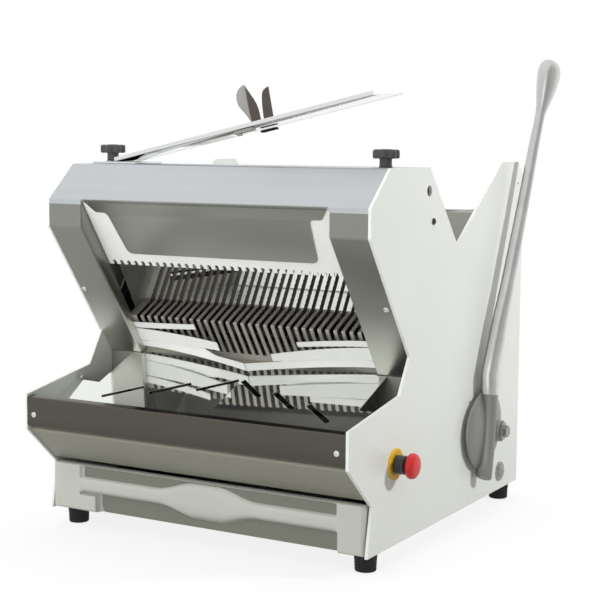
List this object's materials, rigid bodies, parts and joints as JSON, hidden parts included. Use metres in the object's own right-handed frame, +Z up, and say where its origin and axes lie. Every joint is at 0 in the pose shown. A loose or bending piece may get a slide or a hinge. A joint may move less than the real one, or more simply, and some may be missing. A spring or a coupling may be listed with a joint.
{
  "type": "table-top bread slicer",
  "caption": "Table-top bread slicer with shaped side panels, brushed hood, reciprocating blades, lever-fed pusher, polished outfeed table, crumb drawer and bagging shovel.",
  "frame": {"origin": "middle of the bounding box on the floor under the feet", "axes": "+Z up, +Y from the outfeed side to the back, +X to the lever's side"},
  "size_m": [0.659, 0.743, 0.8178],
  "materials": {
    "white_paint": "gloss",
    "hood_steel": "brushed",
    "polished_steel": "polished",
    "plain_steel": "satin",
    "dark_steel": "polished",
    "cast_aluminium": "polished",
    "white_plastic": "satin",
    "black_plastic": "satin",
    "red_plastic": "gloss",
    "yellow_plastic": "gloss",
    "black_rubber": "matt",
    "bronze": "plain",
    "motor_paint": "satin"
  },
  "bodies": {
    "machine": {"left_side_panel": "white_paint", "right_side_panel": "white_paint", "base_plate": "plain_steel", "rear_cover": "white_paint", "front_hood": "hood_steel", "hood_back_plate": "hood_steel", "upper_guard": "white_plastic", "front_apron": "dark_steel", "lower_front_panel": "white_paint", "chute_posts": "hood_steel", "outfeed_table": "polished_steel", "lower_comb": "polished_steel", "infeed_bed": "polished_steel", "left_cheek": "plain_steel", "right_cheek": "plain_steel", "pusher_rails": "plain_steel", "rail_brackets": "plain_steel", "frame_guide_rods": "plain_steel", "guide_brackets": "plain_steel", "lever_bushes": "bronze", "crank_bearings": "plain_steel", "motor": "motor_paint", "motor_bracket": "plain_steel", "drive_belt": "black_rubber", "drawer_runners": "plain_steel", "feet": "black_rubber", "estop_plate": "yellow_plastic", "estop_collar": "black_plastic", "estop_contact_block": "black_plastic", "knob_studs": "plain_steel", "cover_screws": "plain_steel", "panel_bolts": "plain_steel", "cable_gland": "black_plastic"},
    "lever": {"lever": "cast_aluminium", "lever_bolt": "plain_steel", "lever_shaft": "plain_steel", "lever_arms": "plain_steel", "arm_rollers": "white_plastic"},
    "pusher": {"pusher_plate": "white_plastic", "pusher_crossbar": "plain_steel", "pusher_blocks": "plain_steel"},
    "front_frame": {"front_blade_frame": "plain_steel", "front_upper_bar": "plain_steel", "front_blades": "polished_steel"},
    "rear_frame": {"rear_blade_frame": "plain_steel", "rear_upper_bar": "plain_steel", "rear_blades": "polished_steel"},
    "crank": {"crankshaft": "plain_steel", "crank_pulley": "plain_steel"},
    "motor_drive": {"motor_pulley": "plain_steel"},
    "drawer": {"crumb_tray": "plain_steel", "drawer_front": "white_plastic"},
    "stop_button": {"estop_button": "red_plastic"},
    "left_knob": {"left_knob": "black_plastic"},
    "right_knob": {"right_knob": "black_plastic"},
    "shovel": {"shovel_foot": "polished_steel", "shovel_plate": "polished_steel", "bag_ears": "plain_steel"}
  },
  "joints": [
    {"name": "lever_swing", "type": "hinge", "parent": "machine", "child": "lever", "pos_m": [-0.01979, 0.16007, 0.154], "axis": [1, 0, 0], "range_deg": [0, 59.37]},
    {"name": "pusher_slide", "type": "slide", "parent": "machine", "child": "pusher", "axis": [0, -1, 0], "range_m": [0, 0.2755]},
    {"name": "front_frame_slide", "type": "slide", "parent": "machine", "child": "front_frame", "axis": [0, 0.5, 0.866], "range_m": [-0.008, 0.008]},
    {"name": "rear_frame_slide", "type": "slide", "parent": "machine", "child": "rear_frame", "axis": [0, 0.5, 0.866], "range_m": [-0.0081, 0.0081]},
    {"name": "crank_spin", "type": "hinge", "parent": "machine", "child": "crank", "pos_m": [-0.01979, -0.09493, 0.142], "axis": [1, 0, 0], "continuous": true},
    {"name": "motor_spin", "type": "hinge", "parent": "machine", "child": "motor_drive", "pos_m": [-0.01979, 0.08507, 0.112], "axis": [1, 0, 0], "continuous": true},
    {"name": "drawer_slide", "type": "slide", "parent": "machine", "child": "drawer", "axis": [0, -1, 0], "range_m": [0, 0.23]},
    {"name": "stop_press", "type": "slide", "parent": "machine", "child": "stop_button", "axis": [-1, 0, 0], "range_m": [0, 0.004], "stiffness_N_per_m": 1500},
    {"name": "left_knob_turn", "type": "hinge", "parent": "machine", "child": "left_knob", "pos_m": [-0.28779, -0.17993, 0.632], "axis": [0, 0, 1], "continuous": true},
    {"name": "right_knob_turn", "type": "hinge", "parent": "machine", "child": "right_knob", "pos_m": [0.24821, -0.17993, 0.632], "axis": [0, 0, 1], "continuous": true},
    {"name": "shovel_swing", "type": "hinge", "parent": "machine", "child": "shovel", "pos_m": [-0.28779, -0.17993, 0.629], "axis": [0, 0, 1], "range_deg": [-90, 30]}
  ],
  "couplings": [
    {"joint": "pusher_slide", "follows": "lever_swing", "m_per_rad": 0.26539},
    {"joint": "rear_frame_slide", "follows": "front_frame_slide", "ratio": -1},
    {"joint": "motor_spin", "follows": "crank_spin", "ratio": 2.7727}
  ]
}
